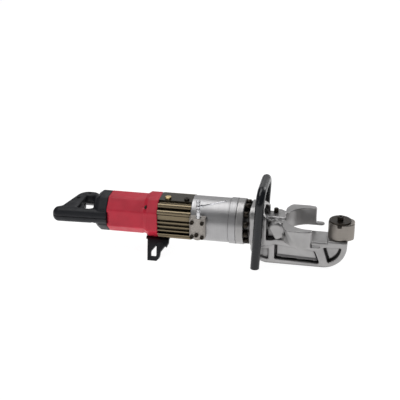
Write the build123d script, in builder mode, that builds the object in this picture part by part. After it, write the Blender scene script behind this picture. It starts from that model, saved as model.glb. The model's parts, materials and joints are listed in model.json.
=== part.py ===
from build123d import *

import math
import os

# Portable electro-hydraulic rebar bender, 32 mm class, in millimetres.
# Row frame: +X runs along the tool axis towards the bending head, +Z is up, the origin is on the ground
# under the middle of the tool. All stations below are measured from the joint of the cylinder flange, on
# the tool axis: x towards the head, y to the far side, z up.

# ---------------------------------------------------------------- driving dimensions
flange_x = 84.75  # the flange joint's station in the row frame
axis_h = 81.0  # height of the tool axis above the ground
running = 0.05  # radial clearance of a running fit
seat = 0.02  # radial clearance of a fixed seat

# Bending head
beam_half = 29.5  # half width of the forged beam
beam_top = -21.7
boss_top = -18.0
pocket_depth = 15.0
flange_r = 50.0
flange_front = 9.5
bolt_circle_r = 42.0
bolt_count = 12
neck_half = 40.0
neck_back = 22.0
neck_front = 58.0
neck_top = 43.0

# Former
former_x = 210.6
former_r = 24.8
former_top = 20.0
former_reach = 241.5  # station of the lug's tip
cap_r = 23.6
post_r = 10.0

# Fork die and ram
fork_bottom = -21.2
fork_top = 18.5
throat_x = 149.0
throat_r = 54.0
fork_half = 70.0
knuckle_x = 78.5
knuckle_r = 19.8
knuckle_half = 39.0
knuckle_gap = 2.4
ridge_half = 19.0
ridge_top = 24.0
ram_r = 20.0
ram_front = 80.0
lock_spot = (73.5, 8.0)

# Cylinder
cylinder_r = 48.3
cylinder_back = -104.0
spigot_back = -128.0
spigot_r = 36.5
bore_r = 33.0
bore_back = -120.0
piston_back = -118.0
piston_front = -104.0
ring_back = -22.0
ring_front = -7.0
seam_width = 1.0

# Pump housing
pump_back = -177.0
core_half = 38.5
rib_half = 43.5
rib_r = 5.5
cover_half = 20.0
cover_top = 44.0
reservoir_r = 33.0

# Motor unit
motor_back = -290.0
collar_back = -204.0
collar_half = 45.0
motor_half = 40.5
corner_cut = 22.0
motor_bore_r = 36.0
collar_bore_r = 38.0
shaft_r = 6.0
gear_module = 0.75
pinion_teeth = 12
gear_teeth = 36
gear_drop = gear_module * (pinion_teeth + gear_teeth) / 2

# Rear handle
handle_back = -411.0
handle_half = 16.5
cap_half = 40.5
cap_front = -309.5
cap_back = -318.5
rim_r = 14.0

# Loop handle
loop_bar_r = 9.6
loop_half = 58.0
loop_foot_x = 38.5
loop_top_x = 47.0
loop_bar_z = 88.4
loop_corner_r = 28.0

os.makedirs("parts", exist_ok=True)


# ---------------------------------------------------------------- placement helpers
def across(x):
    """Plane square to the tool axis at station x: local x is the far side, local y is up."""
    return Plane(origin=(flange_x + x, 0, axis_h), x_dir=(0, 1, 0), z_dir=(1, 0, 0))


def upright(y=0):
    """Vertical plane along the tool: local x is the station, local y is the height."""
    return Plane(origin=(flange_x, y, axis_h), x_dir=(1, 0, 0), z_dir=(0, -1, 0))


def level(z=0):
    """Horizontal plane at height z from the tool axis: local x is the station."""
    return Plane(origin=(flange_x, 0, axis_h + z), x_dir=(1, 0, 0), z_dir=(0, 0, 1))


def disc(radius, x0, x1, y=0, z=0, mode=Mode.ADD):
    """Cylinder along the tool axis."""
    with BuildSketch(across(x0)) as profile:
        with Locations((y, z)):
            Circle(radius)
    extrude(profile.sketch, amount=x1 - x0, mode=mode)


def ring(outer, inner, x0, x1, y=0, z=0):
    """Tube along the tool axis."""
    with BuildSketch(across(x0)) as profile:
        with Locations((y, z)):
            Circle(outer)
            Circle(inner, mode=Mode.SUBTRACT)
    extrude(profile.sketch, amount=x1 - x0)


def pin(radius, x, y, z0, z1, mode=Mode.ADD):
    """Upright cylinder."""
    with BuildSketch(level(z0)) as profile:
        with Locations((x, y)):
            Circle(radius)
    extrude(profile.sketch, amount=z1 - z0, mode=mode)


def cross_pin(radius, x, z, y0, y1, mode=Mode.ADD):
    """Cylinder across the tool, from y0 to y1."""
    with BuildSketch(upright(y0)) as profile:
        with Locations((x, z)):
            Circle(radius)
    extrude(profile.sketch, amount=y0 - y1, mode=mode)


def block(x0, x1, y0, y1, z0, z1, mode=Mode.ADD):
    """Box between two opposite corners."""
    with BuildSketch(level(z0)) as profile:
        with Locations(((x0 + x1) / 2, (y0 + y1) / 2)):
            Rectangle(x1 - x0, y1 - y0)
    extrude(profile.sketch, amount=z1 - z0, mode=mode)


def side_shape(points, y0, y1, mode=Mode.ADD):
    """Polygon given in side view, made solid from y0 to y1."""
    with BuildSketch(upright(y0)) as profile:
        Polygon(*points, align=None)
    extrude(profile.sketch, amount=y0 - y1, mode=mode)


def plan_shape(points, z0, z1, mode=Mode.ADD):
    """Polygon given in plan view, made solid from z0 to z1."""
    with BuildSketch(level(z0)) as profile:
        Polygon(*points, align=None)
    extrude(profile.sketch, amount=z1 - z0, mode=mode)


def octagon(half, cut):
    """Square with cut corners, in the active sketch."""
    square = Rectangle(2 * half, 2 * half)
    chamfer(square.vertices(), cut)


def socket_head(radius, height, key, x, y, z):
    """Socket head screw lying along +X, with its head's seat at station x."""
    disc(radius, x, x + height, y, z)
    with BuildSketch(across(x + height)) as socket:
        with Locations((y, z)):
            RegularPolygon(key, 6)
    extrude(socket.sketch, amount=-height * 0.6, mode=Mode.SUBTRACT)


def gear_wheel(teeth, x0, x1, z, first_angle):
    """Spur gear with straight flanks, its axis at height z."""
    pitch_r = gear_module * teeth / 2
    root_r = pitch_r - 1.2 * gear_module
    tip_r = pitch_r + 0.9 * gear_module
    half_root = 0.29 * math.pi * gear_module
    half_tip = 0.10 * math.pi * gear_module
    with BuildSketch(across(x0)) as profile:
        with Locations((0, z)):
            Circle(root_r)
            with PolarLocations(0, teeth, start_angle=first_angle):
                Polygon(
                    (root_r - 0.5, -half_root),
                    (tip_r, -half_tip),
                    (tip_r, half_tip),
                    (root_r - 0.5, half_root),
                    align=None,
                )
    extrude(profile.sketch, amount=x1 - x0)


# ---------------------------------------------------------------- bending head
end_x = 178.0  # where the beam's round end starts
end_r = 51.0
belly_x = 24.0
panel_rise = 6.0
lip_rise = 4.0
lip_plane = Plane(origin=(flange_x + 80, 0, axis_h - 65.7), x_dir=(0, 1, 0), z_dir=(88.4, 0, -3.0))

with BuildPart() as bender_frame:
    with BuildSketch(upright()):
        with BuildLine():
            Line((belly_x, beam_top), (belly_x, -52))
            TangentArc((62, -axis_h), (belly_x, -52), tangent=(-1, 0))
            Line((62, -axis_h), (end_x, -axis_h))
            TangentArc((end_x, -axis_h), (end_x + end_r, end_r - axis_h), tangent=(1, 0))
            Line((end_x + end_r, end_r - axis_h), (end_x + end_r, boss_top))
            Line((end_x + end_r, boss_top), (188, boss_top))
            Line((188, boss_top), (188, beam_top))
            Line((188, beam_top), (belly_x, beam_top))
        make_face()
    extrude(amount=beam_half, both=True)
    sides = bender_frame.faces().filter_by(Axis.Y)
    fillet(sides.edges(), 3.5)
    # Neck: a rounded box with a sloping top, open at the front
    with BuildSketch(across(neck_back)):
        RectangleRounded(2 * neck_half, 88, 25)
    extrude(amount=neck_front - neck_back)
    slope_top = neck_top + 3
    slope = [(neck_top, slope_top), (neck_front + 3, slope_top), (neck_front + 3, 25), (neck_top, neck_top)]
    side_shape(slope, -60, 60, Mode.SUBTRACT)
    plan_shape([(50, -38), (70, -37), (84, -26), (84, 26), (70, 37), (50, 38)], -34, beam_top)
    # Flange, and the narrow waist that leaves room for the bolt heads
    disc(flange_r, ring_front, flange_front)
    disc(33.5, flange_front, neck_back + 1)
    # Ram bore and the wide mouth in front of it
    disc(30.0, ring_front - 1, neck_back, mode=Mode.SUBTRACT)
    with BuildSketch(across(neck_back)):
        RectangleRounded(66, 2 * 20.7 + 28, 20)
    extrude(amount=neck_front - neck_back + 1, mode=Mode.SUBTRACT)
    block(neck_front - 14, neck_front + 30, -30, 30, beam_top, 20, Mode.SUBTRACT)
    # Bolt holes
    with BuildSketch(across(ring_front - 1)):
        with PolarLocations(bolt_circle_r, bolt_count, start_angle=15):
            Circle(4.3)
    extrude(amount=flange_front - ring_front + 2, mode=Mode.SUBTRACT)
    # Side pockets of the beam, on both sides
    for side in (-1, 1):
        with BuildSketch(upright(side * beam_half)):
            with BuildLine():
                Polyline((76, -35), (76, -69), (173, -72), (162, -44), (76, -35))
            long_pocket = make_face()
            fillet(long_pocket.vertices(), 3)
            with BuildLine():
                Polyline((217, -32), (179, -34), (190, -68))
                ThreePointArc((190, -68), (210, -53), (217, -32))
            end_pocket = make_face()
        extrude(amount=side * pocket_depth, mode=Mode.SUBTRACT)
        # Raised floor panels, with a groove around them and a flared lower lip
        with BuildSketch(upright(side * (beam_half - pocket_depth))):
            Polygon((80, -30), (80, -65.7), (168.4, -68.7), (154.8, -34), align=None)
            with BuildLine():
                Polyline((214, -28), (181, -30), (192.2, -64))
                ThreePointArc((192.2, -64), (207.4, -51.5), (214, -28))
            make_face()
        extrude(amount=-side * panel_rise)
        with BuildSketch(lip_plane):
            panel_y = side * (beam_half - pocket_depth + panel_rise)
            lip_y = panel_y + side * lip_rise
            root_y = side * (beam_half - pocket_depth)
            Polygon((root_y, 0), (lip_y, 0), (panel_y, 5), (root_y, 5), align=None)
        extrude(amount=88.4)
        with BuildSketch(upright(side * beam_half)):
            Polygon((45, -46), (45, -66), (63, -71), (63, -46), align=None)
        extrude(amount=side * 6, mode=Mode.SUBTRACT)
    # Bore for the former's post, and the holes for the loop handle's studs
    pin(post_r + seat, former_x, 0, -60, boss_top + 1, Mode.SUBTRACT)
    cross_pin(6.0 + seat, 44.5, 8, -neck_half - 1, neck_half + 1, Mode.SUBTRACT)
bender_frame.part.label = "bender_frame"
export_step(bender_frame.part, "parts/bender_frame.step")

with BuildPart() as former_post:
    pin(post_r, former_x, 0, -59.5, former_top - 8)
    pin(3.4, former_x, 0, former_top - 30, former_top - 7, Mode.SUBTRACT)
former_post.part.label = "former_post"
export_step(former_post.part, "parts/former_post.step")

with BuildPart() as former_roller:
    with BuildSketch(level(boss_top)) as lug:
        with Locations((former_x, 0)):
            Circle(former_r)
        half_lug = [(former_x, 24.5), (former_reach - 11, 20), (former_reach, 11)]
        Polygon(*half_lug, *[(x, -y) for x, y in reversed(half_lug)], align=None)
        fillet(lug.vertices().filter_by_position(Axis.X, former_reach - 12, former_reach + 1), 13)
    extrude(amount=former_top - 1.5 - boss_top)
    fillet(former_roller.edges().group_by(Axis.Z)[-1], 1.8)
    pin(post_r + seat, former_x, 0, boss_top - 1, former_top, Mode.SUBTRACT)
    block(former_x - 4.2, former_x + 4.2, -30, -18, former_top - 7, former_top, Mode.SUBTRACT)
former_roller.part.label = "former_roller"
export_step(former_roller.part, "parts/former_roller.step")

with BuildPart() as former_cap:
    pin(cap_r, former_x, 0, former_top - 1.5, former_top + 1.5)
    chamfer(former_cap.edges().group_by(Axis.Z)[-1], 0.8)
    pin(3.4, former_x, 0, former_top - 2, former_top + 2, Mode.SUBTRACT)
former_cap.part.label = "former_cap"
export_step(former_cap.part, "parts/former_cap.step")

with BuildPart() as former_screw:
    pin(3.3, former_x, 0, former_top - 28, former_top + 1.5)
    pin(6.5, former_x, 0, former_top + 1.5, former_top + 9.5)
    with BuildSketch(level(former_top + 9.5)):
        with Locations((former_x, 0)):
            RegularPolygon(3.0, 6)
    extrude(amount=-5, mode=Mode.SUBTRACT)
former_screw.part.label = "former_screw"
export_step(former_screw.part, "parts/former_screw.step")

with BuildPart() as former_key:
    block(former_x - 4, former_x + 4, -25.3, -18.2, former_top - 6.8, former_top - 1.6)
former_key.part.label = "former_key"
export_step(former_key.part, "parts/former_key.step")

# ---------------------------------------------------------------- fork die and ram
wing_root = [(60, 0), (60, 24), (87, 25)]
wing_back_top = [(93, 50), (99, 64), (104, 69.5)]
wing_back_foot = [(98, 45), (112, 58), (128, 69.5)]
wing_tip = [(140, fork_half), (153, 67), (157, 61), (151, 0)]
tab_r = 6.0
tab_y = 60.0
tab_end = 175.0

with BuildPart() as fork_die:
    cross_pin(knuckle_r, knuckle_x, 0, -knuckle_half, knuckle_half)
    fillet(fork_die.faces().filter_by(Axis.Y).edges(), 6)
    for side in (-1, 1):
        # The back of each wing slopes forward towards its foot
        for z, back in ((fork_bottom, wing_back_foot), (fork_top, wing_back_top)):
            with BuildSketch(level(z)) as wing:
                Polygon(*[(x, side * y) for x, y in wing_root + back + wing_tip], align=None)
                fillet(wing.vertices().filter_by_position(Axis.X, 152, 160), 2.5)
        loft(ruled=True)
    with BuildSketch(across(60)):
        with Locations((0, ridge_top / 2)):
            RectangleRounded(2 * ridge_half, ridge_top, 7)
    extrude(amount=40)
    # Throat, through the whole height
    with BuildSketch(level(-30)):
        with Locations((throat_x, 0)):
            Circle(throat_r)
        with Locations((throat_x + 30, 0)):
            Rectangle(60, 2 * throat_r)
    extrude(amount=60, mode=Mode.SUBTRACT)
    for side in (-1, 1):
        with BuildSketch(level(fork_bottom)):
            with Locations(((140 + tab_end - tab_r) / 2, side * tab_y)):
                Rectangle(tab_end - tab_r - 140, 2 * tab_r)
            with Locations((tab_end - tab_r, side * tab_y)):
                Circle(tab_r)
        extrude(amount=5)
    for side in (-1, 1):
        # The knuckle's ends are cut back at the lower rear, and stand clear of the wings at the upper front
        side_shape([(50, 14), (58.5, 14), (80, -22), (50, -22)], side * 22, side * 75, Mode.SUBTRACT)
        with BuildSketch(upright(side * 30)):
            with Locations((knuckle_x, 0)):
                Circle(knuckle_r + knuckle_gap)
                Circle(knuckle_r, mode=Mode.SUBTRACT)
            with Locations((knuckle_x, -28)):
                Rectangle(60, 50, mode=Mode.SUBTRACT)
        extrude(amount=-side * (knuckle_half - 30), mode=Mode.SUBTRACT)
        with BuildSketch(upright(side * knuckle_half)):
            with Locations((knuckle_x, 0)):
                Circle(knuckle_r + knuckle_gap)
            with Locations((knuckle_x, -28)):
                Rectangle(60, 50, mode=Mode.SUBTRACT)
        extrude(amount=-side * 35, mode=Mode.SUBTRACT)
    # Socket for the ram, and the lock screw's hole
    disc(ram_r + seat, 55, ram_front + 0.5, mode=Mode.SUBTRACT)
    pin(4.0 + seat, *lock_spot, 10, 30, Mode.SUBTRACT)
fork_die.part.label = "fork_die"
export_step(fork_die.part, "parts/fork_die.step")

with BuildPart() as fork_lock_screw:
    pin(4.0, *lock_spot, 19.9, ridge_top)
    pin(5.0, *lock_spot, ridge_top, ridge_top + 9.5)
    fillet(fork_lock_screw.edges().group_by(Axis.Z)[-1], 2)
fork_lock_screw.part.label = "fork_lock_screw"
export_step(fork_lock_screw.part, "parts/fork_lock_screw.step")

with BuildPart() as ram:
    disc(ram_r, piston_front, ram_front)
    disc(12.0, piston_back, piston_front)
    chamfer(ram.edges().group_by(Axis.X)[-1], 2)
ram.part.label = "ram"
export_step(ram.part, "parts/ram.step")

with BuildPart() as piston:
    ring(bore_r - running, 12.0 + seat, piston_back, piston_front)
    with BuildSketch(across(-113.5)):
        Circle(bore_r)
        Circle(bore_r - 4, mode=Mode.SUBTRACT)
    extrude(amount=5, mode=Mode.SUBTRACT)
piston.part.label = "piston"
export_step(piston.part, "parts/piston.step")

with BuildPart() as piston_seal:
    ring(bore_r - 0.06, bore_r - 4 + seat, -113.4, -108.6)
piston_seal.part.label = "piston_seal"
export_step(piston_seal.part, "parts/piston_seal.step")

with BuildPart() as gland_bush:
    ring(30.0 - seat, ram_r + running, -14, 14)
    ring(bore_r - seat, ram_r + running, -14, ring_front - 0.05)
gland_bush.part.label = "gland_bush"
export_step(gland_bush.part, "parts/gland_bush.step")

with BuildPart() as rod_wiper:
    ring(30.0 - seat, ram_r + running, 14.05, 20)
rod_wiper.part.label = "rod_wiper"
export_step(rod_wiper.part, "parts/rod_wiper.step")

spring_r = 26.5
spring_wire_r = 1.9
spring_back = piston_front + spring_wire_r + 0.4
spring_front = -14 - spring_wire_r - 0.4
spring_turns = 6

with BuildPart() as return_spring:
    with BuildLine():
        coil = Helix(
            pitch=(spring_front - spring_back) / spring_turns,
            height=spring_front - spring_back,
            radius=spring_r,
            center=(flange_x + spring_back, 0, axis_h),
            direction=(1, 0, 0),
        )
    with BuildSketch(Plane(origin=coil @ 0, z_dir=coil % 0)):
        Circle(spring_wire_r)
    sweep(is_frenet=True)
return_spring.part.label = "return_spring"
export_step(return_spring.part, "parts/return_spring.step")

# ---------------------------------------------------------------- hydraulic cylinder
with BuildPart() as cylinder_body:
    disc(cylinder_r, cylinder_back, ring_back - seam_width)
    disc(cylinder_r - 1.8, ring_back - seam_width, ring_back)
    disc(flange_r, ring_back, ring_front - seam_width)
    disc(flange_r - 1.8, ring_front - seam_width, ring_front)
    disc(spigot_r, spigot_back, cylinder_back)
    disc(bore_r, bore_back, ring_front + 1, mode=Mode.SUBTRACT)
    disc(4.0, spigot_back - 1, bore_back, mode=Mode.SUBTRACT)
    with BuildSketch(across(ring_back + 3)):
        with PolarLocations(bolt_circle_r, bolt_count, start_angle=15):
            Circle(4.0 + seat)
    extrude(amount=ring_front - ring_back, mode=Mode.SUBTRACT)
cylinder_body.part.label = "cylinder_body"
export_step(cylinder_body.part, "parts/cylinder_body.step")

washer_h = 2.0
head_h = 8.0
bolt_spots = [
    (
        bolt_circle_r * math.cos(math.radians(15 + 360 / bolt_count * i)),
        bolt_circle_r * math.sin(math.radians(15 + 360 / bolt_count * i)),
    )
    for i in range(bolt_count)
]

with BuildPart() as flange_bolts:
    for y, z in bolt_spots:
        disc(4.0, ring_back + 4, flange_front + washer_h, y, z)
        socket_head(6.5, head_h, 3.4, flange_front + washer_h, y, z)
flange_bolts.part.label = "flange_bolts"
export_step(flange_bolts.part, "parts/flange_bolts.step")

with BuildPart() as flange_washers:
    for y, z in bolt_spots:
        ring(7.2, 4.1, flange_front, flange_front + washer_h, y, z)
flange_washers.part.label = "flange_washers"
export_step(flange_washers.part, "parts/flange_washers.step")

# ---------------------------------------------------------------- loop handle
lean = math.atan2(loop_top_x - loop_foot_x, loop_bar_z + axis_h)
loop_plane = Plane(
    origin=(flange_x + loop_foot_x, 0, 0),
    x_dir=(0, 1, 0),
    z_dir=(math.cos(lean), 0, -math.sin(lean)),
)
loop_rise = (loop_bar_z + axis_h) / math.cos(lean)

with BuildPart() as loop_handle:
    with BuildLine(loop_plane):
        FilletPolyline(
            (-loop_half, -3),
            (-loop_half, loop_rise),
            (loop_half, loop_rise),
            (loop_half, -3),
            radius=loop_corner_r,
        )
    foot_start = loop_plane.from_local_coords((-loop_half, -3, 0))
    with BuildSketch(Plane(foot_start, x_dir=(0, 1, 0), z_dir=loop_plane.y_dir)):
        Circle(loop_bar_r)
    sweep()
    with BuildSketch(Plane.XY.offset(-12)):
        with Locations((flange_x + loop_foot_x, 0)):
            Rectangle(60, 200)
    extrude(amount=12, mode=Mode.SUBTRACT)
    cross_pin(6.0 + seat, 44.5, 8, -loop_half, loop_half, Mode.SUBTRACT)
loop_handle.part.label = "loop_handle"
export_step(loop_handle.part, "parts/loop_handle.step")

with BuildPart() as handle_studs:
    for side in (-1, 1):
        cross_pin(6.0, 44.5, 8, side * 33.5, side * (loop_half - 0.3))
handle_studs.part.label = "handle_studs"
export_step(handle_studs.part, "parts/handle_studs.step")

with BuildPart() as handle_spacers:
    for side in (-1, 1):
        cross_pin(8.0, 44.5, 8, side * (neck_half + 0.05), side * (loop_half - loop_bar_r - 0.4))
        cross_pin(6.1, 44.5, 8, side * (neck_half - 1), side * loop_half, Mode.SUBTRACT)
handle_spacers.part.label = "handle_spacers"
export_step(handle_spacers.part, "parts/handle_spacers.step")

# ---------------------------------------------------------------- valve block and release lever
valve_x0 = -103.5
valve_x1 = -69.5
valve_face = -60.0
valve_z0 = -22.0
valve_z1 = 24.0
stem_x = -84.5
stem_y = -53.0
valve_screws = [(-97.5, 15.0), (-75.5, 15.0), (-97.5, -20.0 + 2), (-75.5, -20.0 + 2), (-87.5, -13.5)]

with BuildPart() as valve_block:
    block(valve_x0, valve_x1, valve_face, -34, valve_z0, valve_z1)
    chamfer(valve_block.edges().filter_by(Axis.Z).group_by(Axis.Y)[0], 4)
    fillet(valve_block.faces().sort_by(Axis.Y)[0].edges().filter_by(Axis.X), 1.2)
    pin(8.5, -87.0, -49.0, valve_z0 - 5, valve_z0)
    disc(cylinder_r + 0.05, cylinder_back - 1, ring_back, mode=Mode.SUBTRACT)
    for x, z in valve_screws:
        cross_pin(4.4, x, z, valve_face - 1, valve_face + 1.2, Mode.SUBTRACT)
        cross_pin(2.6, x, z, valve_face, -44, Mode.SUBTRACT)
    pin(5.0, stem_x, stem_y, valve_z1 - 10, valve_z1 + 1, Mode.SUBTRACT)
valve_block.part.label = "valve_block"
export_step(valve_block.part, "parts/valve_block.step")

with BuildPart() as valve_block_screws:
    for x, z in valve_screws:
        cross_pin(2.5, x, z, valve_face + 1.2, -50.5)
        cross_pin(4.25, x, z, valve_face - 3.6, valve_face + 1.2)
        with BuildSketch(upright(valve_face - 3.6)):
            with Locations((x, z)):
                RegularPolygon(2.3, 6)
        extrude(amount=-2.8, mode=Mode.SUBTRACT)
valve_block_screws.part.label = "valve_block_screws"
export_step(valve_block_screws.part, "parts/valve_block_screws.step")

spindle_z = 31.0

with BuildPart() as valve_stem:
    pin(4.9, stem_x, stem_y, valve_z1 - 9.5, valve_z1 + 1.5)
    pin(5.6, stem_x, stem_y, valve_z1 + 0.05, valve_z1 + 4)
    pin(4.6, stem_x, stem_y, valve_z1 + 4, spindle_z + 6)
    pin(2.6, stem_x, stem_y, valve_z1 - 2, spindle_z + 7, Mode.SUBTRACT)
valve_stem.part.label = "valve_stem"
export_step(valve_stem.part, "parts/valve_stem.step")

lever_z = 50.0
lever_tip = (-22.5, -58.5, 70.0)
lever_root = (stem_x + 3, stem_y, lever_z)

with BuildPart() as release_spindle:
    pin(2.55, stem_x, stem_y, valve_z1, spindle_z + 8)
    pin(3.2, stem_x, stem_y, spindle_z + 6.4, lever_z + 12)
    for z, r in ((42.0, 4.4), (lever_z, 4.9), (58.5, 4.4)):
        with Locations((flange_x + stem_x, stem_y, axis_h + z)):
            Sphere(r)
    pin(4.4, stem_x, stem_y, 61.5, 64.5)
    fillet(release_spindle.edges().group_by(Axis.Z)[-1], 1)
release_spindle.part.label = "release_spindle"
export_step(release_spindle.part, "parts/release_spindle.step")

lever_from = Vector(flange_x + lever_root[0], lever_root[1], axis_h + lever_root[2])
lever_to = Vector(flange_x + lever_tip[0], lever_tip[1], axis_h + lever_tip[2])
lever_dir = (lever_to - lever_from).normalized()

with BuildPart() as release_lever:
    with BuildSketch(Plane(origin=lever_from, z_dir=lever_dir)):
        Circle(2.1)
    extrude(amount=(lever_to - lever_from).length - 7)
    with BuildSketch(Plane(origin=lever_from + lever_dir * 1.6, z_dir=lever_dir)):
        RegularPolygon(3.6, 6)
    extrude(amount=6)
release_lever.part.label = "release_lever"
export_step(release_lever.part, "parts/release_lever.step")

with BuildPart() as lever_tip_cap:
    with BuildSketch(Plane(origin=lever_to - lever_dir * 7, z_dir=lever_dir)):
        Circle(2.4)
    extrude(amount=7)
    fillet(lever_tip_cap.edges().group_by(Axis.X)[-1], 1.5)
lever_tip_cap.part.label = "lever_tip_cap"
export_step(lever_tip_cap.part, "parts/lever_tip_cap.step")

# ---------------------------------------------------------------- pump housing
rib_spots = [(30.0, 34.5), (39.0, 23.0), (30.0, -34.5)]
fin_heights = [1.5, -8.0, -17.5, -26.5]
fin_half_t = 1.4

with BuildPart() as pump_housing:
    with BuildSketch(across(pump_back)):
        octagon(core_half, 18)
        for side in (-1, 1):
            with Locations(*[(side * y, z) for y, z in rib_spots]):
                Circle(rib_r)
            with Locations((side * (core_half - 2), 12.0)):
                Rectangle(9, 10)
            with Locations(*[(side * (rib_half - 5), z) for z in fin_heights]):
                Rectangle(10, 2 * fin_half_t)
        with Locations((0, (cover_top - 4 + 25) / 2)):
            Rectangle(2 * cover_half, cover_top - 4 - 25)
        with Locations((0, -(cover_top + 25) / 2)):
            Rectangle(2 * cover_half, cover_top - 25)
    extrude(amount=cylinder_back - pump_back)
    disc(reservoir_r, pump_back - 1, spigot_back - 6, mode=Mode.SUBTRACT)
    disc(spigot_r + seat, spigot_back, cylinder_back + 1, mode=Mode.SUBTRACT)
    disc(8.0, pump_back - 1, spigot_back + 1, mode=Mode.SUBTRACT)
    pin(5.0, -159, -10, 25, cover_top, Mode.SUBTRACT)
    pin(3.0, -118, -10, 36, cover_top, Mode.SUBTRACT)
    pin(3.0 + seat, -162, 0, -cover_top - 1, -39.5, Mode.SUBTRACT)
pump_housing.part.label = "pump_housing"
export_step(pump_housing.part, "parts/pump_housing.step")

with BuildPart() as reservoir_cover:
    block(pump_back + 0.05, cylinder_back - 0.05, -cover_half, cover_half, cover_top - 4, cover_top)
    pin(5.0, -159, -10, 30, cover_top + 1, Mode.SUBTRACT)
    pin(3.0, -118, -10, 30, cover_top + 1, Mode.SUBTRACT)
reservoir_cover.part.label = "reservoir_cover"
export_step(reservoir_cover.part, "parts/reservoir_cover.step")

with BuildPart() as filler_plug:
    pin(4.95, -159, -10, 30, cover_top)
    with BuildSketch(level(cover_top)):
        with Locations((-159, -10)):
            RegularPolygon(7.0, 6)
    extrude(amount=4)
filler_plug.part.label = "filler_plug"
export_step(filler_plug.part, "parts/filler_plug.step")

with BuildPart() as bleed_screw:
    pin(2.95, -118, -10, 38.4, cover_top)
    pin(5.6, -118, -10, cover_top, cover_top + 4)
    with BuildSketch(level(cover_top + 4)):
        with Locations((-118, -10)):
            RegularPolygon(2.6, 6)
    extrude(amount=-2.5, mode=Mode.SUBTRACT)
bleed_screw.part.label = "bleed_screw"
export_step(bleed_screw.part, "parts/bleed_screw.step")

# ---------------------------------------------------------------- pump and gear train
ecc_z = -gear_drop
piston_x = -152.0

with BuildPart() as pump_body:
    disc(reservoir_r - 0.5, -163, -137)
    disc(11.5, -158.5, -145.5, 0, ecc_z, Mode.SUBTRACT)
    disc(6.0 + seat, -170, -130, 0, ecc_z, Mode.SUBTRACT)
    cross_pin(4.0 + seat, piston_x, ecc_z, -40, 40, Mode.SUBTRACT)
    block(-164, -136, -40, 40, 12, 40, Mode.SUBTRACT)
pump_body.part.label = "pump_body"
export_step(pump_body.part, "parts/pump_body.step")

with BuildPart() as pump_pistons:
    for side in (-1, 1):
        cross_pin(4.0, piston_x, ecc_z, side * 11.0, side * 23.5)
pump_pistons.part.label = "pump_pistons"
export_step(pump_pistons.part, "parts/pump_pistons.step")

with BuildPart() as shaft_bushes:
    for x0, x1 in ((-162.9, -158.6), (-145.4, -137.1)):
        ring(6.0, 3.0 + running, x0, x1, 0, ecc_z)
shaft_bushes.part.label = "shaft_bushes"
export_step(shaft_bushes.part, "parts/shaft_bushes.step")

ecc_throw = 1.2

with BuildPart() as eccentric_shaft:
    disc(3.0, -175.5, -138, 0, ecc_z)
    disc(6.5, -156, -148, 0, ecc_z + ecc_throw)
eccentric_shaft.part.label = "eccentric_shaft"
export_step(eccentric_shaft.part, "parts/eccentric_shaft.step")

with BuildPart() as eccentric_bearing:
    ring(9.3, 6.5 + seat, -155.5, -148.5, 0, ecc_z + ecc_throw)
eccentric_bearing.part.label = "eccentric_bearing"
export_step(eccentric_bearing.part, "parts/eccentric_bearing.step")

with BuildPart() as drive_gear:
    gear_wheel(gear_teeth, -174.5, -168, ecc_z, 90 + 180 / gear_teeth)
    disc(3.0 + seat, -180, -160, 0, ecc_z, Mode.SUBTRACT)
drive_gear.part.label = "drive_gear"
export_step(drive_gear.part, "parts/drive_gear.step")

with BuildPart() as motor_pinion:
    gear_wheel(pinion_teeth, -175, -167.5, 0, -90)
motor_pinion.part.label = "motor_pinion"
export_step(motor_pinion.part, "parts/motor_pinion.step")

# ---------------------------------------------------------------- motor
core_x0 = -272.0
core_x1 = -222.0
front_bearing = (-192.0, -184.0)
rear_bearing = (-314.5, -305.5)
plate_back = -316.5

with BuildPart() as gear_plate:
    disc(collar_bore_r - seat, -194, -178)
    disc(15.0 + seat, -195, front_bearing[1] + 0.05, mode=Mode.SUBTRACT)
    disc(10.0, -190, -177, mode=Mode.SUBTRACT)
    disc(5.0, -181, -177, 0, ecc_z, Mode.SUBTRACT)
gear_plate.part.label = "gear_plate"
export_step(gear_plate.part, "parts/gear_plate.step")

with BuildPart() as motor_bearings:
    for x0, x1 in (front_bearing, rear_bearing):
        ring(15.0, shaft_r + running, x0, x1)
motor_bearings.part.label = "motor_bearings"
export_step(motor_bearings.part, "parts/motor_bearings.step")

with BuildPart() as armature_shaft:
    disc(shaft_r, -316.0, -178)
    disc(gear_module * pinion_teeth / 2 - 1.4 * gear_module, -178, -175.05)
armature_shaft.part.label = "armature_shaft"
export_step(armature_shaft.part, "parts/armature_shaft.step")

with BuildPart() as armature_core:
    ring(23.5, shaft_r + seat, core_x0, core_x1)
    with BuildSketch(across(core_x0 - 1)):
        with PolarLocations(23.5, 16):
            Rectangle(6, 2.2)
    extrude(amount=core_x1 - core_x0 + 2, mode=Mode.SUBTRACT)
armature_core.part.label = "armature_core"
export_step(armature_core.part, "parts/armature_core.step")

with BuildPart() as commutator:
    ring(14.0, shaft_r + seat, -300, -284)
commutator.part.label = "commutator"
export_step(commutator.part, "parts/commutator.step")

with BuildPart() as cooling_fan:
    ring(10.0, shaft_r + seat, -213, -200)
    ring(32.0, 9.0, -213, -211)
    with BuildSketch(across(-211)):
        with PolarLocations(20.5, 10):
            Rectangle(22, 1.6)
    extrude(amount=8)
cooling_fan.part.label = "cooling_fan"
export_step(cooling_fan.part, "parts/cooling_fan.step")

with BuildPart() as stator_core:
    ring(motor_bore_r - seat, 24.1, core_x0, core_x1)
stator_core.part.label = "stator_core"
export_step(stator_core.part, "parts/stator_core.step")

with BuildPart() as field_coils:
    for x0, x1 in ((core_x0 - 8, core_x0 - 0.05), (core_x1 + 0.05, core_x1 + 7)):
        ring(33.0, 26.0, x0, x1)
field_coils.part.label = "field_coils"
export_step(field_coils.part, "parts/field_coils.step")

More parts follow.
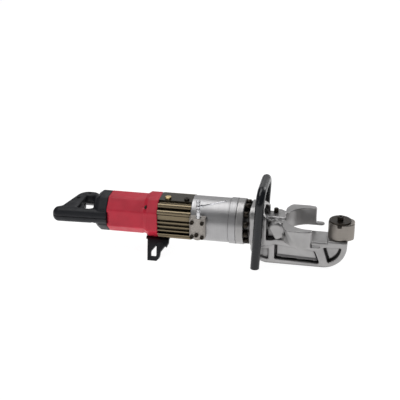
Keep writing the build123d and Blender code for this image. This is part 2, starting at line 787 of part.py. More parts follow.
with BuildPart() as brush_plate:
    disc(34.9, -305, -302)
    disc(18.0, plate_back, -305)
    disc(15.0 + seat, rear_bearing[0] - 0.05, -300, mode=Mode.SUBTRACT)
    disc(8.0, -325, -300, mode=Mode.SUBTRACT)
brush_plate.part.label = "brush_plate"
export_step(brush_plate.part, "parts/brush_plate.step")

with BuildPart() as brush_holders:
    for side in (-1, 1):
        y0, y1 = sorted((side * 17.0, side * 30.0))
        block(-301.9, -286, y0, y1, -6, 6)
        block(-296.6, -287.4, y0 - 1, y1 + 1, -4.6, 4.6, Mode.SUBTRACT)
brush_holders.part.label = "brush_holders"
export_step(brush_holders.part, "parts/brush_holders.step")

with BuildPart() as carbon_brushes:
    for side in (-1, 1):
        y0, y1 = sorted((side * 14.4, side * 29.0))
        block(-296.5, -287.5, y0, y1, -4.5, 4.5)
carbon_brushes.part.label = "carbon_brushes"
export_step(carbon_brushes.part, "parts/carbon_brushes.step")

collar_screw_x = -205.5
collar_screws = [(-34.0, 30.0), (34.0, 30.0), (-18.0, -41.0), (18.0, -41.0)]

with BuildPart() as motor_housing:
    with BuildSketch(across(motor_back)):
        octagon(motor_half, corner_cut)
    extrude(amount=collar_back - motor_back)
    with BuildSketch(across(collar_back - 4)):
        octagon(motor_half, corner_cut)
    with BuildSketch(across(collar_back + 3)):
        octagon(collar_half, corner_cut + 2)
    loft()
    with BuildSketch(across(collar_back + 3)):
        octagon(collar_half, corner_cut + 2)
    extrude(amount=pump_back - collar_back - 3)
    fillet(motor_housing.edges().filter_by(Axis.X), 6)
    disc(motor_bore_r, motor_back - 1, collar_back, mode=Mode.SUBTRACT)
    disc(collar_bore_r, collar_back, pump_back + 1, mode=Mode.SUBTRACT)
    pin(3.0 + seat, -190, 0, -collar_half - 1, -39.5, Mode.SUBTRACT)
    for side in (-1, 1):
        # Air slot at the joint with the rear cap
        y0, y1 = sorted((side * (motor_half - 3), side * (motor_half + 1)))
        block(motor_back - 1, motor_back + 3.5, y0, y1, -13, 13, Mode.SUBTRACT)
    for y, z in collar_screws:
        disc(4.2, collar_screw_x - 8, collar_screw_x + 4.1, y, z, Mode.SUBTRACT)
motor_housing.part.label = "motor_housing"
export_step(motor_housing.part, "parts/motor_housing.step")

with BuildPart() as housing_screws:
    for y, z in collar_screws:
        socket_head(3.6, 4, 1.9, collar_screw_x, y, z)
housing_screws.part.label = "housing_screws"
export_step(housing_screws.part, "parts/housing_screws.step")

# ---------------------------------------------------------------- rear handle
# The D-shaped grip lies level. It is moulded in one with the motor's rear cap and splits at half height.
screw_spots = [(-371.0, 17.0, 1), (-352.0, 48.0, 1), (-394.0, -39.0, -1), (-322.0, -39.0, -1)]
screw_head_z = 10.5
screw_bore = 11.5
gland_spot = (-325.0, 40.0)
button_x = -346.0


for keep, name in ((Keep.TOP, "handle_upper_shell"), (Keep.BOTTOM, "handle_lower_shell")):
    with BuildPart() as shell:
        with BuildSketch(level()):
            with BuildLine():
                FilletPolyline(
                    (motor_back, -47),
                    (handle_back, -53),
                    (handle_back, -28),
                    (-399, -23),
                    (-377, 64),
                    (-338, 64),
                    (-312, 39),
                    (motor_back, 39),
                    radius=[13, 12, 6, 30, 20, 10],
                )
                Line((motor_back, 39), (motor_back, -47))
            make_face()
        extrude(amount=handle_half, both=True)
        level_edges = shell.edges().filter_by(Plane.XY)
        fillet(level_edges.filter_by_position(Axis.X, -400, flange_x + motor_back - 1), rim_r)
        with BuildSketch(level(-handle_half - 1)) as opening:
            Polygon((-359, -31), (-357, 35), (-338, 35), (-323, -31), align=None)
            fillet(opening.vertices(), 8)
        extrude(amount=2 * handle_half + 2, mode=Mode.SUBTRACT)
        rims = shell.edges().filter_by(Plane.XY).filter_by_position(Axis.X, flange_x - 360, flange_x - 322)
        fillet(rims.filter_by_position(Axis.Y, -32, 36), 6)
        # The far bar is slimmer underneath
        with BuildSketch(across(-366)):
            Polygon((30, 0), (36, -6), (52, -handle_half - 1), (30, -handle_half - 1), align=None)
        extrude(amount=36, mode=Mode.SUBTRACT)
        # Rear cap of the motor
        with BuildSketch(across(cap_back)) as cap_rear:
            octagon(34, 18)
            fillet(cap_rear.vertices(), 6)
        with BuildSketch(across(cap_front)) as cap_mid:
            octagon(cap_half, corner_cut)
            fillet(cap_mid.vertices(), 6)
        loft()
        extrude(cap_mid.sketch, amount=motor_back - cap_front)
        # Boss under the cable gland
        pin(9.5, *gland_spot, -handle_half, 0)
        # Room for the brush gear, the switch, the trigger and the wires
        disc(35.0, -306, motor_back + 1, mode=Mode.SUBTRACT)
        disc(18.0 + seat, plate_back - 0.05, -306, mode=Mode.SUBTRACT)
        block(-391.5, -379, -21, 3, -9.3, 9.3, Mode.SUBTRACT)
        block(-382, -355, -25, 5, -8.4, 8.4, Mode.SUBTRACT)
        block(-388, -380, -44, -20, -5, 5, Mode.SUBTRACT)
        block(-388, -300, -44, -33, -5, 5, Mode.SUBTRACT)
        cross_pin(4.7, button_x, 0, -43, -29, Mode.SUBTRACT)
        for x, y, way in screw_spots:
            low, high = sorted((way * screw_head_z, way * (handle_half + 2)))
            pin(3.7, x, y, low, high, Mode.SUBTRACT)
            pin(2.0 + seat, x, y, -screw_bore, screw_bore, Mode.SUBTRACT)
        pin(7.0 + seat, *gland_spot, -handle_half - 1, 0, Mode.SUBTRACT)
        split(bisect_by=level(), keep=keep)
    shell.part.label = name
    export_step(shell.part, f"parts/{name}.step")

with BuildPart() as handle_screws:
    for x, y, way in screw_spots:
        low, high = sorted((way * (screw_head_z + 0.1), way * (screw_head_z + 2.6)))
        pin(3.5, x, y, low, high)
        low, high = sorted((way * -8.9, way * (screw_head_z + 0.1)))
        pin(2.0, x, y, low, high)
        with BuildSketch(level(way * (screw_head_z + 2.6))):
            with Locations((x, y)):
                Rectangle(4.6, 1.0)
                Rectangle(1.0, 4.6)
        extrude(amount=-way * 1.4, mode=Mode.SUBTRACT)
handle_screws.part.label = "handle_screws"
export_step(handle_screws.part, "parts/handle_screws.step")

with BuildPart() as switch_module:
    block(-391.2, -380.6, -20.5, 2.5, -9, 9)
switch_module.part.label = "switch_module"
export_step(switch_module.part, "parts/switch_module.step")

with BuildPart() as trigger:
    plan_shape([(-361, -24.6), (-352, -21), (-350, -13), (-350, -6), (-353, 1), (-361, 4.6)], -8, 8)
    fillet(trigger.edges().filter_by(Axis.Z).group_by(Axis.X)[-1], 3)
    block(-374, -361, -20, 0, -6, 6)
trigger.part.label = "trigger"
export_step(trigger.part, "parts/trigger.step")

with BuildPart() as lock_button:
    cross_pin(4.4, button_x, 0, -40, -28)
    fillet(lock_button.edges().group_by(Axis.Y)[-1], 1.2)
lock_button.part.label = "lock_button"
export_step(lock_button.part, "parts/lock_button.step")

with BuildPart() as cable_gland:
    pin(7.0, *gland_spot, -handle_half - 12, -8.5)
    pin(8.5, *gland_spot, -handle_half - 3, -handle_half - 0.05)
    pin(4.2, *gland_spot, -handle_half - 13, -8, Mode.SUBTRACT)
cable_gland.part.label = "cable_gland"
export_step(cable_gland.part, "parts/cable_gland.step")

# ---------------------------------------------------------------- stand
saddle_top = -collar_half - 0.05
saddle_h = 4.5
leg_top_y = 25.0
leg_foot_y = 60.0
leg_run = Vector(0, -(leg_foot_y - leg_top_y), -(axis_h + saddle_top)).normalized()
leg_plane = Plane(
    origin=(flange_x, -leg_top_y, axis_h + saddle_top),
    x_dir=(1, 0, 0),
    z_dir=Vector(1, 0, 0).cross(leg_run),
)
leg_outline = [
    (-210, -6),
    (-202, 4),
    (-194.5, 56),
    (-175, 56),
    (-169, 41),
    (-169, 31),
    (-161.5, 18),
    (-158, 20.5),
    (-154, 9.5),
    (-155, -6),
]
leg_hole = [(-180, 16), (-190, 31), (-188.5, 43), (-176.5, 43)]
stand_screw_x = (-190.0, -162.0)

with BuildPart() as stand_foot:
    with BuildSketch(leg_plane):
        Polygon(*leg_outline, align=None)
        Polygon(*leg_hole, align=None, mode=Mode.SUBTRACT)
    extrude(amount=4.5, both=True)
    block(-206, -155, -leg_top_y - 2, 0, saddle_top - saddle_h, saddle_top)
    block(-220, -140, -90, 1, saddle_top, saddle_top + 20, Mode.SUBTRACT)
    block(-220, -140, -110, 1, -axis_h - 30, -axis_h, Mode.SUBTRACT)
    mirror(about=Plane.XZ)
    for x in stand_screw_x:
        pin(3.1, x, 0, saddle_top - 10, saddle_top + 1, Mode.SUBTRACT)
stand_foot.part.label = "stand_foot"
export_step(stand_foot.part, "parts/stand_foot.step")

with BuildPart() as stand_screws:
    for x in stand_screw_x:
        pin(3.0, x, 0, saddle_top - saddle_h, saddle_top + 5)
        pin(5.5, x, 0, saddle_top - saddle_h - 5, saddle_top - saddle_h)
        with BuildSketch(level(saddle_top - saddle_h - 5)):
            with Locations((x, 0)):
                RegularPolygon(2.6, 6)
        extrude(amount=3, mode=Mode.SUBTRACT)
stand_screws.part.label = "stand_screws"
export_step(stand_screws.part, "parts/stand_screws.step")
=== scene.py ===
"""Looks of the portable hydraulic rebar bender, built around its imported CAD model."""

import json
import math

import bmesh
import bpy
from mathutils import Matrix, Vector


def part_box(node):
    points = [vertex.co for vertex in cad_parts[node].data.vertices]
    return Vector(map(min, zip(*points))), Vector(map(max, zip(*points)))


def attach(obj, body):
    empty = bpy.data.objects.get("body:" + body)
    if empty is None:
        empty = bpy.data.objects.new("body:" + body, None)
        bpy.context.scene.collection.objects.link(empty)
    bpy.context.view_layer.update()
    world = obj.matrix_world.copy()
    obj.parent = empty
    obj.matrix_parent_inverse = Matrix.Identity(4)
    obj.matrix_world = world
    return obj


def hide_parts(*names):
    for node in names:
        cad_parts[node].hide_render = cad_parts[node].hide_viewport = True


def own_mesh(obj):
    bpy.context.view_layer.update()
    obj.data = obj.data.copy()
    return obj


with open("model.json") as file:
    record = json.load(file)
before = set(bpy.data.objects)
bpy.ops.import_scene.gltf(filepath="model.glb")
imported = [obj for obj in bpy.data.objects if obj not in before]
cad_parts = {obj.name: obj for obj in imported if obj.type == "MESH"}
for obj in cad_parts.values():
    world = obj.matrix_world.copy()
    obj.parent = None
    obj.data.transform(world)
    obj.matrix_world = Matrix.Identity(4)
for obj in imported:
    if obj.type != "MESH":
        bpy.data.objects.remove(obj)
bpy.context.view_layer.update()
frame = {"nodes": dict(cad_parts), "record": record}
nodes = frame["nodes"]

# ---------------------------------------------------------------- stations
# Places are given in millimetres from the flange joint on the tool axis: x towards the head, y to the
# far side, z up. at() turns them into the row frame.
mm = 0.001
ring_thickness = 7.0
axis_z = sum(corner.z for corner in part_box("ram")) / 2
flange_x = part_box("cylinder_body")[1].x + ring_thickness * mm


def at(x, y, z):
    """A station as a point of the row frame."""
    return Vector((flange_x + x * mm, y * mm, axis_z + z * mm))


# ---------------------------------------------------------------- node graphs
class Finish:
    """A material with a Principled shader, and short calls for the nodes that the finishes share."""

    def __init__(self, name, roughness, metallic=0.0):
        self.material = bpy.data.materials.new(name)
        self.material.use_nodes = True
        self.tree = self.material.node_tree
        self.shader = self.tree.nodes["Principled BSDF"]
        self.place = self.tree.nodes.new("ShaderNodeTexCoord").outputs["Object"]
        self.shader.inputs["Roughness"].default_value = roughness
        self.shader.inputs["Metallic"].default_value = metallic

    def node(self, kind, **values):
        made = self.tree.nodes.new("ShaderNode" + kind)
        for name, value in values.items():
            setattr(made, name, value)
        return made

    def link(self, source, target):
        self.tree.links.new(source, target)

    def stretched(self, stretch):
        """Object coordinates, scaled along each axis."""
        mapping = self.node("Mapping")
        mapping.inputs["Scale"].default_value = stretch
        self.link(self.place, mapping.inputs["Vector"])
        return mapping.outputs["Vector"]

    def noise(self, scale, detail=3.0, stretch=(1, 1, 1), distortion=0.0):
        """Noise with that many features per metre."""
        texture = self.node("TexNoise")
        texture.inputs["Scale"].default_value = scale
        texture.inputs["Detail"].default_value = detail
        texture.inputs["Distortion"].default_value = distortion
        self.link(self.stretched(stretch), texture.inputs["Vector"])
        return texture.outputs["Fac"]

    def cells(self, scale):
        """Distance to the nearest of many scattered points."""
        texture = self.node("TexVoronoi")
        texture.inputs["Scale"].default_value = scale
        self.link(self.place, texture.inputs["Vector"])
        return texture.outputs["Distance"]

    def spread(self, value, low, high, start=0.35, end=0.65):
        """value between start and end becomes low to high."""
        ranged = self.node("MapRange")
        for name, number in (("From Min", start), ("From Max", end), ("To Min", low), ("To Max", high)):
            ranged.inputs[name].default_value = number
        self.link(value, ranged.inputs["Value"])
        return ranged.outputs["Result"]

    def blend(self, value, colour_a, colour_b):
        """colour_a where value is 0, colour_b where it is 1."""
        mix = self.node("Mix", data_type="RGBA")
        self.link(value, mix.inputs["Factor"])
        for socket, colour in ((mix.inputs[6], colour_a), (mix.inputs[7], colour_b)):
            if isinstance(colour, bpy.types.NodeSocket):
                self.link(colour, socket)
            else:
                socket.default_value = (*colour, 1.0)
        return mix.outputs[2]

    def hollow(self, distance):
        """1 in the open, less in corners and hollows."""
        occlusion = self.node("AmbientOcclusion", samples=8)
        occlusion.inputs["Distance"].default_value = distance
        return occlusion.outputs["AO"]

    def edge(self, radius):
        """Rounded normal, and 1 along the edges, where it leaves the face's own normal."""
        cosine_at_edge, cosine_on_flat = 0.72, 0.97
        bevel = self.node("Bevel", samples=6)
        bevel.inputs["Radius"].default_value = radius
        geometry = self.node("NewGeometry")
        dot = self.node("VectorMath", operation="DOT_PRODUCT")
        self.link(bevel.outputs["Normal"], dot.inputs[0])
        self.link(geometry.outputs["Normal"], dot.inputs[1])
        on_edge = self.spread(dot.outputs["Value"], 1.0, 0.0, cosine_at_edge, cosine_on_flat)
        return bevel.outputs["Normal"], on_edge

    def bump(self, height, depth, normal=None, strength=1.0):
        """Adds relief of that depth in metres and returns the new normal."""
        made = self.node("Bump")
        made.inputs["Strength"].default_value = strength
        made.inputs["Distance"].default_value = depth
        self.link(height, made.inputs["Height"])
        if normal is not None:
            self.link(normal, made.inputs["Normal"])
        return made.outputs["Normal"]

    def set(self, name, source):
        self.link(source, self.shader.inputs[name])


def shade(colour, factor):
    return tuple(min(1.0, c * factor) for c in colour)


# ---------------------------------------------------------------- finishes
def moulded(name, colour, roughness, grain, depth, gloss):
    """Moulded nylon: an even colour with faint clouding, a fine leather grain, and edges painted lighter,
    partly as rubbing and partly as a painted highlight.
    """
    f = Finish(name, roughness)
    edge_normal, on_edge = f.edge(0.5 * mm)
    clouds = f.spread(f.noise(22, 4), 0.0, 1.0)
    body = f.blend(clouds, shade(colour, 0.90), shade(colour, 1.08))
    # Edges painted lighter: partly rubbed nylon, partly a painted highlight along the edges.
    rubbed_and_highlit_edges = f.blend(f.spread(on_edge, 0.0, 0.35, 0.2, 1.0), body, shade(colour, 1.9))
    f.set("Base Color", rubbed_and_highlit_edges)
    f.set("Roughness", f.spread(f.noise(60, 5), roughness - 0.07, roughness + 0.07))
    fine = f.bump(f.cells(grain), depth, edge_normal, 0.5)
    f.set("Normal", f.bump(f.noise(grain * 0.35, 2), depth * 1.5, fine, 0.35))
    f.shader.inputs["Specular IOR Level"].default_value = gloss
    return f.material


def forged(name, colour, roughness, metallic, tone=1.0):
    """Forging with a satin grey finish: shot-blasted grain, soft dents, painted shade in the hollows, and
    edges painted lighter as wear and as a painted highlight.
    """
    f = Finish(name, roughness, metallic)
    edge_normal, on_edge = f.edge(0.9 * mm)
    clouds = f.spread(f.noise(16, 5, distortion=0.4), 0.0, 1.0)
    body = f.blend(clouds, shade(colour, 0.90 * tone), shade(colour, 1.06 * tone))
    # Painted shade: the colour darkens to a fifth where ambient occlusion finds hollows and corners.
    painted_hollow_shade = f.blend(f.spread(f.hollow(9 * mm), 1.0, 0.0, 0.25, 0.90), body, shade(colour, 0.22))
    # Edges painted lighter: partly worn paint, partly a painted highlight along the edges.
    bright = f.blend(f.spread(on_edge, 0.0, 0.5, 0.1, 1.0), painted_hollow_shade, shade(colour, 1.35))
    f.set("Base Color", bright)
    f.set("Roughness", f.spread(f.noise(90, 5), roughness - 0.05, roughness + 0.09))
    grain = f.bump(f.noise(1500, 3), 0.06 * mm, edge_normal, 0.55)
    f.set("Normal", f.bump(f.noise(110, 3), 0.5 * mm, grain, 0.25))
    return f.material


def turned(name, colour, roughness, metallic, axis, depth=0.015):
    """Machined metal with fine tool marks. axis is 0, 1 or 2: the marks lie across that axis."""
    f = Finish(name, roughness, metallic)
    edge_normal, on_edge = f.edge(0.4 * mm)
    along_marks, across_marks = 6.0, 900.0
    stretch = [along_marks] * 3
    stretch[axis] = across_marks
    marks = f.noise(1.0, 4, stretch)
    clouds = f.spread(f.noise(25, 4), 0.0, 1.0)
    body = f.blend(clouds, shade(colour, 0.94), shade(colour, 1.05))
    lined = f.blend(f.spread(marks, 0.0, 0.35), body, shade(colour, 0.82))
    # Edges painted lighter: partly worn, partly a painted highlight along the edges.
    f.set("Base Color", f.blend(f.spread(on_edge, 0.0, 0.5, 0.1, 1.0), lined, shade(colour, 1.3)))
    f.set("Roughness", f.spread(marks, roughness - 0.06, roughness + 0.08))
    f.set("Normal", f.bump(marks, depth * mm, edge_normal, 0.6))
    return f.material


def enamel(name, colour, roughness):
    """Thick glossy paint over a bent bar, with a faint orange peel and rubbed-through edges."""
    f = Finish(name, roughness)
    worn = f.spread(f.noise(140, 6), 0.0, 1.0, 0.66, 0.74)
    body = f.blend(f.spread(f.noise(30, 3), 0.0, 1.0), shade(colour, 0.85), shade(colour, 1.2))
    f.set("Base Color", f.blend(worn, body, shade(colour, 2.2)))
    f.set("Roughness", f.spread(f.noise(70, 4), roughness - 0.05, roughness + 0.10))
    f.set("Normal", f.bump(f.noise(260, 2), 0.12 * mm, None, 0.30))
    f.shader.inputs["Specular IOR Level"].default_value = 0.42
    return f.material


def speckled(name, colour, roughness, metallic):
    """Block sawn and blasted, with a coarse speckle."""
    f = Finish(name, roughness, metallic)
    edge_normal, on_edge = f.edge(0.5 * mm)
    dots = f.spread(f.noise(620, 4), 0.0, 1.0, 0.40, 0.62)
    body = f.blend(dots, shade(colour, 0.72), shade(colour, 1.12))
    # Edges painted lighter: partly worn, partly a painted highlight along the edges.
    f.set("Base Color", f.blend(f.spread(on_edge, 0.0, 0.6, 0.1, 1.0), body, shade(colour, 1.35)))
    f.set("Roughness", f.spread(dots, roughness + 0.08, roughness - 0.05, 0.0, 1.0))
    f.set("Normal", f.bump(f.noise(900, 3), 0.08 * mm, edge_normal, 0.5))
    return f.material


def plated(name, colour, roughness):
    """Bright plating with faint smudges."""
    f = Finish(name, roughness, 1.0)
    f.set("Base Color", f.blend(f.spread(f.noise(70, 4), 0.0, 1.0), shade(colour, 0.93), colour))
    f.set("Roughness", f.spread(f.noise(180, 5), roughness, roughness + 0.12))
    f.set("Normal", f.bump(f.noise(700, 2), 0.02 * mm, None, 0.3))
    return f.material


def oxide(name, colour, roughness, metallic):
    """Blackened screws: oily black with browner patches, and bright corners that are partly worn oxide and
    partly a painted highlight.
    """
    f = Finish(name, roughness, metallic)
    edge_normal, on_edge = f.edge(0.35 * mm)
    patches = f.spread(f.noise(260, 4), 0.0, 1.0, 0.42, 0.60)
    body = f.blend(patches, colour, (colour[0] * 1.9, colour[1] * 1.6, colour[2] * 1.3))
    # Corners painted six times lighter: partly worn oxide, partly a painted highlight along the edges.
    f.set("Base Color", f.blend(f.spread(on_edge, 0.0, 0.45, 0.1, 1.0), body, shade(colour, 6.0)))
    f.set("Roughness", f.spread(patches, roughness - 0.06, roughness + 0.08, 0.0, 1.0))
    f.set("Normal", f.bump(f.noise(1300, 2), 0.03 * mm, edge_normal, 0.4))
    return f.material


def anodised(name, colour, roughness):
    """Extrusion anodised dark bronze, with draw lines along the tool, painted shade in the hollows, and
    edges painted lighter as wear and as a painted highlight.
    """
    f = Finish(name, roughness, 0.85)
    edge_normal, on_edge = f.edge(0.4 * mm)
    along_lines, across_lines = 5, 1100
    lines = f.noise(1.0, 3, (along_lines, across_lines, across_lines))
    body = f.blend(f.spread(lines, 0.0, 1.0), shade(colour, 0.80), shade(colour, 1.12))
    # Painted shade: the colour goes nearly black where ambient occlusion finds hollows, such as the gaps
    # between ribs.
    painted_hollow_shade = f.blend(f.spread(f.hollow(10 * mm), 1.0, 0.0, 0.30, 0.92), body, shade(colour, 0.08))
    # Edges painted lighter: partly worn anodising, partly a painted highlight along the edges.
    f.set("Base Color", f.blend(f.spread(on_edge, 0.0, 0.4, 0.1, 1.0), painted_hollow_shade, shade(colour, 1.6)))
    f.set("Roughness", f.spread(lines, roughness - 0.05, roughness + 0.07))
    f.set("Normal", f.bump(lines, 0.02 * mm, edge_normal, 0.5))
    return f.material


def rubbery(name, colour, roughness):
    """Black rubber with a dusty bloom."""
    f = Finish(name, roughness)
    f.set("Base Color", f.blend(f.spread(f.noise(80, 5), 0.0, 1.0), colour, shade(colour, 1.8)))
    f.set("Roughness", f.spread(f.noise(200, 4), roughness - 0.1, roughness + 0.08))
    f.set("Normal", f.bump(f.noise(900, 2), 0.05 * mm, None, 0.4))
    return f.material


slot_finish = {
    "red_paint": moulded("red_nylon", (0.62, 0.026, 0.055), 0.46, 1400, 0.05 * mm, 0.35),
    "black_plastic": moulded("black_nylon", (0.009, 0.010, 0.014), 0.48, 1200, 0.07 * mm, 0.36),
    "black_steel": enamel("black_enamel", (0.008, 0.009, 0.012), 0.24),
    "cast_steel": forged("forged_grey", (0.40, 0.392, 0.39), 0.36, 0.85),
    "machined_steel": turned("turned_steel", (0.42, 0.415, 0.42), 0.40, 0.95, 0, 0.004),
    "former_steel": turned("former_ground", (0.29, 0.265, 0.24), 0.38, 0.9, 2, 0.012),
    "bronze_dark": anodised("bronze_extrusion", (0.205, 0.165, 0.105), 0.24),
    "cover_black": anodised("cover_anodised", (0.060, 0.054, 0.042), 0.30),
    "valve_steel": speckled("blasted_block", (0.40, 0.37, 0.34), 0.42, 0.75),
    "chrome": plated("bright_chrome", (0.66, 0.66, 0.68), 0.06),
    "black_oxide": oxide("black_oxide", (0.022, 0.019, 0.016), 0.34, 0.75),
    "brass": turned("machined_brass", (0.72, 0.54, 0.27), 0.24, 1.0, 2, 0.01),
    "bronze": turned("sintered_bronze", (0.55, 0.36, 0.20), 0.42, 0.9, 0, 0.02),
    "rubber": rubbery("black_rubber", (0.018, 0.018, 0.018), 0.62),
    "spring_steel": plated("oiled_spring", (0.40, 0.40, 0.41), 0.28),
    "motor_steel": turned("laminations", (0.34, 0.34, 0.35), 0.40, 0.8, 0, 0.03),
    "copper": turned("copper_winding", (0.70, 0.36, 0.20), 0.32, 1.0, 0, 0.04),
    "aluminium": forged("die_cast", (0.60, 0.60, 0.61), 0.42, 0.85),
    "carbon": rubbery("carbon_block", (0.03, 0.03, 0.032), 0.55),
}

node_slot = {entry["node"]: entry["material_slot"] for entry in frame["record"]["subparts"]}
for name, node in nodes.items():
    node.data.materials.clear()
    node.data.materials.append(slot_finish[node_slot[name]])

# ---------------------------------------------------------------- pieces
node_body = {
    name: body for body, names in frame["record"]["behaviour"]["bodies"].items() for name in names
}


def add_piece(name, mesh, stands_for):
    """Puts a mesh in the scene in place of the named nodes, on their body and with their finish."""
    piece = bpy.data.objects.new(name, mesh)
    bpy.context.scene.collection.objects.link(piece)
    lead = stands_for[0]
    mesh.materials.clear()
    mesh.materials.append(slot_finish[node_slot[lead]])
    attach(piece, node_body[lead])
    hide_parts(*stands_for)
    return piece


def soften(name, node, voxel, passes):
    """Stands for a node as a casting or moulding: the same shape, with every edge and corner rounded."""
    source = bpy.data.objects.new("source", nodes[node].data.copy())
    bpy.context.scene.collection.objects.link(source)
    remesh = source.modifiers.new("voxels", "REMESH")
    remesh.mode = "VOXEL"
    remesh.voxel_size = voxel
    smooth = source.modifiers.new("soft_edges", "SMOOTH")
    smooth.factor = 0.5
    smooth.iterations = passes
    mesh = bpy.data.meshes.new_from_object(source.evaluated_get(bpy.context.evaluated_depsgraph_get()))
    mesh.name = name
    bpy.data.objects.remove(source)
    mesh.polygons.foreach_set("use_smooth", [True] * len(mesh.polygons))
    return add_piece(name, mesh, [node])


def bridge(shape, low, high):
    """Faces between two closed rings of points."""
    for i in range(len(low)):
        after = (i + 1) % len(low)
        shape.faces.new((low[i], low[after], high[after], high[i]))


def tube(shape, rings):
    """Skin over a row of rings, closed at both ends."""
    for low, high in zip(rings, rings[1:]):
        bridge(shape, low, high)
    shape.faces.new(list(reversed(rings[0])))
    shape.faces.new(rings[-1])


def spin(shape, profile, foot, axis, steps):
    """Turns a profile of (radius, height, kind) around an axis. kind is round, knurl or hex."""
    knurl_depth = 0.35 * mm
    turn = Vector((0, 0, 1)).rotation_difference(axis)
    rings = []
    for radius, height, kind in profile:
        row = []
        for step in range(steps):
            angle = 2 * math.pi * step / steps
            reach = radius
            if kind == "knurl" and step % 2:
                reach = radius - knurl_depth
            if kind == "hex":
                reach = radius / math.cos(angle % (math.pi / 3) - math.pi / 6)
            spot = Vector((reach * math.cos(angle), reach * math.sin(angle), height))
            row.append(shape.verts.new(foot + turn @ spot))
        rings.append(row)
    tube(shape, rings)


def finished_mesh(name, shape, sharp=None):
    """Mesh of a shape, with its faces outwards. If sharp is given, edges under that angle look smooth."""
    bmesh.ops.recalc_face_normals(shape, faces=shape.faces[:])
    if sharp is not None:
        for face in shape.faces:
            face.smooth = True
        for edge in shape.edges:
            edge.smooth = edge.calc_face_angle(0.0) < sharp
    mesh = bpy.data.meshes.new(name)
    shape.to_mesh(mesh)
    shape.free()
    return mesh


def spun_mesh(name, turned_parts, steps, sharp=0.6):
    """Mesh of one or more turned parts, each (profile, foot, axis)."""
    shape = bmesh.new()
    for profile, foot, axis in turned_parts:
        spin(shape, profile, foot, axis, steps)
    return finished_mesh(name, shape, sharp)


def millimetres(profile):
    return [(radius * mm, height * mm, kind) for radius, height, kind in profile]


along = Vector((1, 0, 0))
bolt_circle_r, bolt_count, first_bolt_deg = 42.0, 12, 15
flange_front, washer_h = 9.5, 2.0
bolt_angles = [math.radians(first_bolt_deg + 360 / bolt_count * i) for i in range(bolt_count)]
bolt_feet = [(bolt_circle_r * math.cos(a), bolt_circle_r * math.sin(a)) for a in bolt_angles]


def knurled_bolts():
    """Socket head screws with knurled heads and hexagon sockets."""
    head = millimetres(
        [
            (3.9, -31.5, "round"),
            (3.9, 0.0, "round"),
            (6.1, 0.0, "round"),
            (6.5, 0.5, "knurl"),
            (6.5, 7.0, "knurl"),
            (5.7, 8.0, "round"),
            (3.7, 8.0, "round"),
            (3.0, 7.6, "hex"),
            (3.0, 3.6, "hex"),
            (0.3, 2.6, "round"),
        ]
    )
    parts = [(head, at(flange_front + washer_h, y, z), along) for y, z in bolt_feet]
    add_piece("knurled_bolts", spun_mesh("knurled_bolts", parts, 60), ["flange_bolts"])


def split_washers():
    """Spring washers: a square-section ring, cut once and twisted a little."""
    steps, inner, outer, thick = 30, 4.2, 7.0, 1.5
    lift, clear = 0.45, 0.02
    cut_start_deg, ring_deg = 12, 336
    shape = bmesh.new()
    for y, z in bolt_feet:
        rows = []
        for step in range(steps + 1):
            turn = step / steps
            angle = math.radians(cut_start_deg + ring_deg * turn)
            low = flange_front + clear + lift * turn
            corners = [(inner, low), (outer, low), (outer, low + thick), (inner, low + thick)]
            rows.append(
                [
                    shape.verts.new(at(height, y + radius * math.cos(angle), z + radius * math.sin(angle)))
                    for radius, height in corners
                ]
            )
        tube(shape, rows)
    add_piece("split_washers", finished_mesh("split_washers", shape), ["flange_washers"])


def lever_rod():
    """Release lever: a hexagon collar, a long taper and a small ball at the end."""
    root, tip = at(-81.5, -53, 50), at(-22.5, -58.5, 70)
    way = (tip - root).normalized()
    length = (tip - root).length / mm
    profile = [(1.9, -1.0, "round"), (2.2, 1.8, "round"), (3.1, 1.9, "hex"), (3.1, 7.2, "hex")]
    profile += [(2.1, 7.5, "round"), (2.0, 20.0, "round"), (1.5, length - 6.0, "round")]
    ball_r, ball_at, ball_steps = 2.3, length - 2.4, 12
    for i in range(1, ball_steps):
        bend = math.pi * (i / ball_steps)
        profile.append((ball_r * math.sin(bend), ball_at - ball_r * math.cos(bend), "round"))
    mesh = spun_mesh("lever_rod", [(millimetres(profile), root, way)], 36, 0.9)
    add_piece("lever_rod", mesh, ["release_lever", "lever_tip_cap"])


def return_coil():
    """Return spring in the cylinder, built as one fixed coil; on the real tool it closes to a third of its
    length as the ram comes out.
    """
    turns, steps, sides = 6, 40, 12
    coil_r, wire_r = 26.5, 1.9
    back, front, stop = -101.7, -16.3, -14.0
    shape = bmesh.new()
    rings = []
    for step in range(turns * steps + 1):
        share = step / (turns * steps)
        angle = 2 * math.pi * turns * share
        out = Vector((0, math.cos(angle), math.sin(angle)))
        centre = at(back + (front - back) * share, 0, 0) + coil_r * mm * out
        around = [2 * math.pi * side / sides for side in range(sides)]
        spokes = [math.cos(a) * out + math.sin(a) * along for a in around]
        rings.append([shape.verts.new(centre + wire_r * mm * spoke) for spoke in spokes])
    tube(shape, rings)
    coil = add_piece("return_coil", finished_mesh("return_coil", shape, math.pi), ["return_spring"])
    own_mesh(coil)


def ribbed_gland():
    """Rubber bend guard with rings, for the cable under the handle."""
    foot, down = at(-325.0, 40.0, -8.5), Vector((0, 0, -1))
    rib_count, rib_pitch = 5, 1.8
    profile = [(6.9, 0.0, "round"), (6.9, 7.9, "round"), (8.4, 8.05, "round"), (8.4, 10.6, "round")]
    for i in range(rib_count):
        height, wide = 11.0 + rib_pitch * i, 6.9 - 0.25 * i
        profile += [(wide - 1.1, height, "round"), (wide - 1.1, height + 0.6, "round")]
        profile += [(wide, height + 0.8, "round"), (wide, height + 1.6, "round")]
    profile += [(4.3, 20.0, "round"), (4.2, 19.0, "round"), (4.2, 1.0, "round")]
    mesh = spun_mesh("ribbed_gland", [(millimetres(profile), foot, down)], 40)
    add_piece("ribbed_gland", mesh, ["cable_gland"])


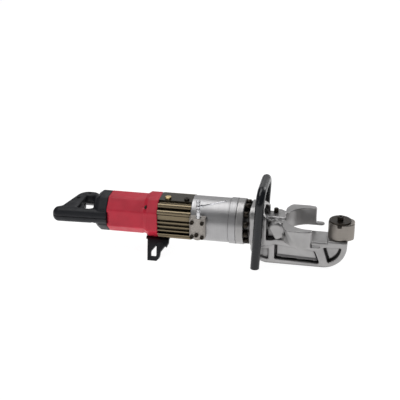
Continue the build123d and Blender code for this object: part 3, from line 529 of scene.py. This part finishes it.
voxel = 1.15 * mm
soften("frame_forging", "bender_frame", voxel, 5)
soften("fork_forging", "fork_die", voxel, 6)
soften("former_block", "former_roller", 0.9 * mm, 4)
soften("housing_moulding", "motor_housing", voxel, 4)
soften("grip_upper", "handle_upper_shell", voxel, 3)
soften("grip_lower", "handle_lower_shell", voxel, 3)
soften("stand_moulding", "stand_foot", 0.9 * mm, 3)
soften("trigger_pad", "trigger", 0.6 * mm, 4)
soften("lock_stud", "lock_button", 0.5 * mm, 3)
knurled_bolts()
split_washers()
lever_rod()
return_coil()
ribbed_gland()

# ---------------------------------------------------------------- floor, light and camera
def pale_floor():
    """A large plain sheet that glows white, so that shadows stay light."""
    half_size, below_ground = 40.0, 0.5 * mm
    glow = 0.96
    mesh = bpy.data.meshes.new("floor")
    shape = bmesh.new()
    bmesh.ops.create_grid(shape, x_segments=8, y_segments=8, size=half_size)
    shape.to_mesh(mesh)
    shape.free()
    floor = bpy.data.objects.new("floor", mesh)
    bpy.context.scene.collection.objects.link(floor)
    floor.location.z = -below_ground
    f = Finish("floor_paper", 0.9)
    f.set("Base Color", f.blend(f.spread(f.noise(3, 3), 0.0, 1.0), (0.16, 0.16, 0.16), (0.18, 0.18, 0.18)))
    f.set("Normal", f.bump(f.noise(400, 3), 0.1 * mm, None, 0.1))
    f.shader.inputs["Emission Color"].default_value = (1.0, 1.0, 1.0, 1.0)
    f.shader.inputs["Emission Strength"].default_value = glow
    floor.data.materials.append(f.material)


def soft_light(name, place, aim, size, power):
    """Rectangular area light aimed at a point."""
    data = bpy.data.lights.new(name, "AREA")
    data.shape = "RECTANGLE"
    data.size, data.size_y = size
    data.energy = power
    light = bpy.data.objects.new(name, data)
    bpy.context.scene.collection.objects.link(light)
    light.location = place
    light.rotation_mode = "QUATERNION"
    light.rotation_quaternion = (Vector(aim) - Vector(place)).to_track_quat("-Z", "Y")


def studio():
    world = bpy.data.worlds.new("studio")
    world.use_nodes = True
    background = world.node_tree.nodes["Background"]
    background.inputs["Color"].default_value = (0.95, 0.97, 1.0, 1.0)
    background.inputs["Strength"].default_value = 0.10
    bpy.context.scene.world = world
    middle = (0.0, 0.0, axis_z)
    soft_light("overhead", (-0.35, 0.15, 1.6), middle, (1.6, 0.9), 13)
    soft_light("backdrop", (0.3, 2.6, 1.35), middle, (3.4, 1.5), 11)
    soft_light("front_fill", (-0.9, -1.8, 1.0), middle, (0.6, 0.5), 3)
    soft_light("rear_rim", (0.9, 1.2, 0.8), middle, (0.4, 0.9), 4)


def camera():
    """Camera on the near side, a little to the left of the flange and above it."""
    azimuth, elevation = math.radians(11.0), math.radians(24.0)
    distance = 2.154
    lens_mm, sensor_mm, far_end = 90, 36, 50
    shift_right, shift_up = 89.6 * mm, 45.0 * mm
    look = Vector(
        (
            -math.sin(azimuth) * math.cos(elevation),
            math.cos(azimuth) * math.cos(elevation),
            -math.sin(elevation),
        )
    )
    right = Vector((math.cos(azimuth), math.sin(azimuth), 0))
    up = right.cross(look)
    data = bpy.data.cameras.new("camera")
    data.lens = lens_mm
    data.sensor_width = sensor_mm
    data.clip_end = far_end
    cam = bpy.data.objects.new("camera", data)
    bpy.context.scene.collection.objects.link(cam)
    cam.location = at(0, 0, 0) - look * distance - right * shift_right + up * shift_up
    cam.rotation_mode = "QUATERNION"
    cam.rotation_quaternion = Matrix((right, up, -look)).transposed().to_quaternion()
    bpy.context.scene.camera = cam


bpy.context.scene.view_settings.view_transform = "Standard"
pale_floor()
studio()
camera()
